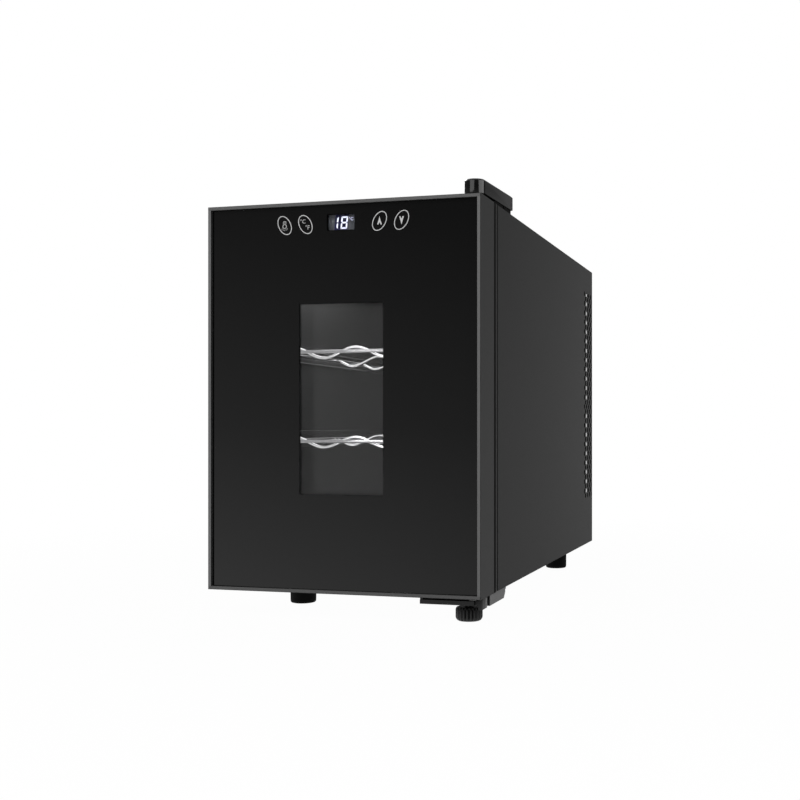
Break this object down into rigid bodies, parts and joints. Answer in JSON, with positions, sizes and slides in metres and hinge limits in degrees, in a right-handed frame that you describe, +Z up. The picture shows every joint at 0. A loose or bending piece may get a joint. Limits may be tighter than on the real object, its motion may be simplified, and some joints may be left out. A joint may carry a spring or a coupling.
{
  "type": "wine cooler",
  "caption": "Free-standing thermoelectric wine cooler with a black glass door, touch display, wire shelves, side vents and a levelling foot under the hinge.",
  "frame": {"origin": "on the floor, below the middle of the bounding box", "axes": "+X to the right seen from the front, +Y from the door to the rear, +Z up"},
  "size_m": [0.255, 0.515, 0.3838],
  "materials": {
    "trim_plastic": "satin",
    "painted_steel": "satin powder coat",
    "liner_plastic": "satin",
    "foam": "matte",
    "zinc_steel": "zinc plated",
    "hinge_steel": "satin",
    "sink_aluminium": "as extruded",
    "module_ceramic": "matte",
    "seal_rubber": "matte",
    "foot_rubber": "matte",
    "foot_plastic": "satin",
    "fan_plastic": "satin",
    "bush_plastic": "satin",
    "lamp_plastic": "translucent",
    "board_green": "solder mask",
    "transformer_yellow": "tape wrap",
    "capacitor_sleeve": "sleeve",
    "gloss_black": "gloss",
    "printed_glass": "polished, black print behind",
    "clear_glass": "polished",
    "display_grey": "gloss",
    "shelf_chrome": "polished"
  },
  "bodies": {
    "cabinet": {"front_frame": "trim_plastic", "left_side_panel": "painted_steel", "right_side_panel": "painted_steel", "top_panel": "painted_steel", "base_pan": "painted_steel", "inner_liner": "liner_plastic", "cabinet_insulation": "foam", "rear_panel": "zinc_steel", "cold_sink": "sink_aluminium", "cold_block": "sink_aluminium", "peltier_module": "module_ceramic", "module_gasket": "seal_rubber", "hot_sink": "sink_aluminium", "cold_fan_frame": "fan_plastic", "hot_fan_frame": "fan_plastic", "cold_air_cover": "liner_plastic", "lamp_lens": "lamp_plastic", "lamp_board": "board_green", "rear_cover": "painted_steel", "rear_cover_screws": "zinc_steel", "cord_gland": "fan_plastic", "board_standoffs": "lamp_plastic", "power_board": "board_green", "power_transformer": "transformer_yellow", "power_capacitors": "capacitor_sleeve", "rubber_feet": "foot_rubber", "foot_screws": "zinc_steel", "upper_hinge_bracket": "hinge_steel", "upper_hinge_pin": "zinc_steel", "upper_hinge_screws": "zinc_steel", "upper_hinge_cover": "gloss_black", "lower_hinge_bracket": "hinge_steel", "lower_hinge_pin": "zinc_steel", "lower_hinge_screws": "zinc_steel"},
    "door": {"door_frame": "trim_plastic", "outer_glass": "printed_glass", "door_inner_panel": "liner_plastic", "inner_glass": "clear_glass", "door_gasket": "seal_rubber", "door_insulation": "foam", "control_holder": "fan_plastic", "control_board": "board_green", "led_display": "display_grey", "touch_electrodes": "zinc_steel", "upper_hinge_bush": "bush_plastic", "lower_hinge_bush": "bush_plastic"},
    "upper_shelf": {"upper_shelf": "shelf_chrome"},
    "lower_shelf": {"lower_shelf": "shelf_chrome"},
    "cold_fan": {"cold_fan_rotor": "fan_plastic"},
    "hot_fan": {"hot_fan_rotor": "fan_plastic"},
    "levelling_stud": {"levelling_stud": "zinc_steel"},
    "levelling_knob": {"levelling_knob": "foot_plastic"}
  },
  "joints": [
    {"name": "door_hinge", "type": "hinge", "parent": "cabinet", "child": "door", "pos_m": [0.116, -0.2375, 0.1935], "axis": [0, 0, 1], "range_deg": [0, 115]},
    {"name": "upper_shelf_slide", "type": "slide", "parent": "cabinet", "child": "upper_shelf", "axis": [0, -1, 0], "range_m": [-0.018, 0.0115]},
    {"name": "lower_shelf_slide", "type": "slide", "parent": "cabinet", "child": "lower_shelf", "axis": [0, -1, 0], "range_m": [-0.018, 0.0115]},
    {"name": "cold_fan_spin", "type": "hinge", "parent": "cabinet", "child": "cold_fan", "pos_m": [0, 0.1185, 0.196], "axis": [0, 1, 0], "continuous": true},
    {"name": "hot_fan_spin", "type": "hinge", "parent": "cabinet", "child": "hot_fan", "pos_m": [0, 0.2085, 0.196], "axis": [0, 1, 0], "continuous": true},
    {"name": "levelling_foot_lift", "type": "slide", "parent": "cabinet", "child": "levelling_stud", "axis": [0, 0, 1], "range_m": [-0.0051, 0]},
    {"name": "levelling_knob_turn", "type": "hinge", "parent": "levelling_stud", "child": "levelling_knob", "pos_m": [0.109, -0.2295, 0.006], "axis": [0, 0, 1], "range_deg": [-1800, 0]}
  ],
  "couplings": [
    {"joint": "levelling_foot_lift", "follows": "levelling_knob_turn", "m_per_rad": 0.00015915}
  ]
}
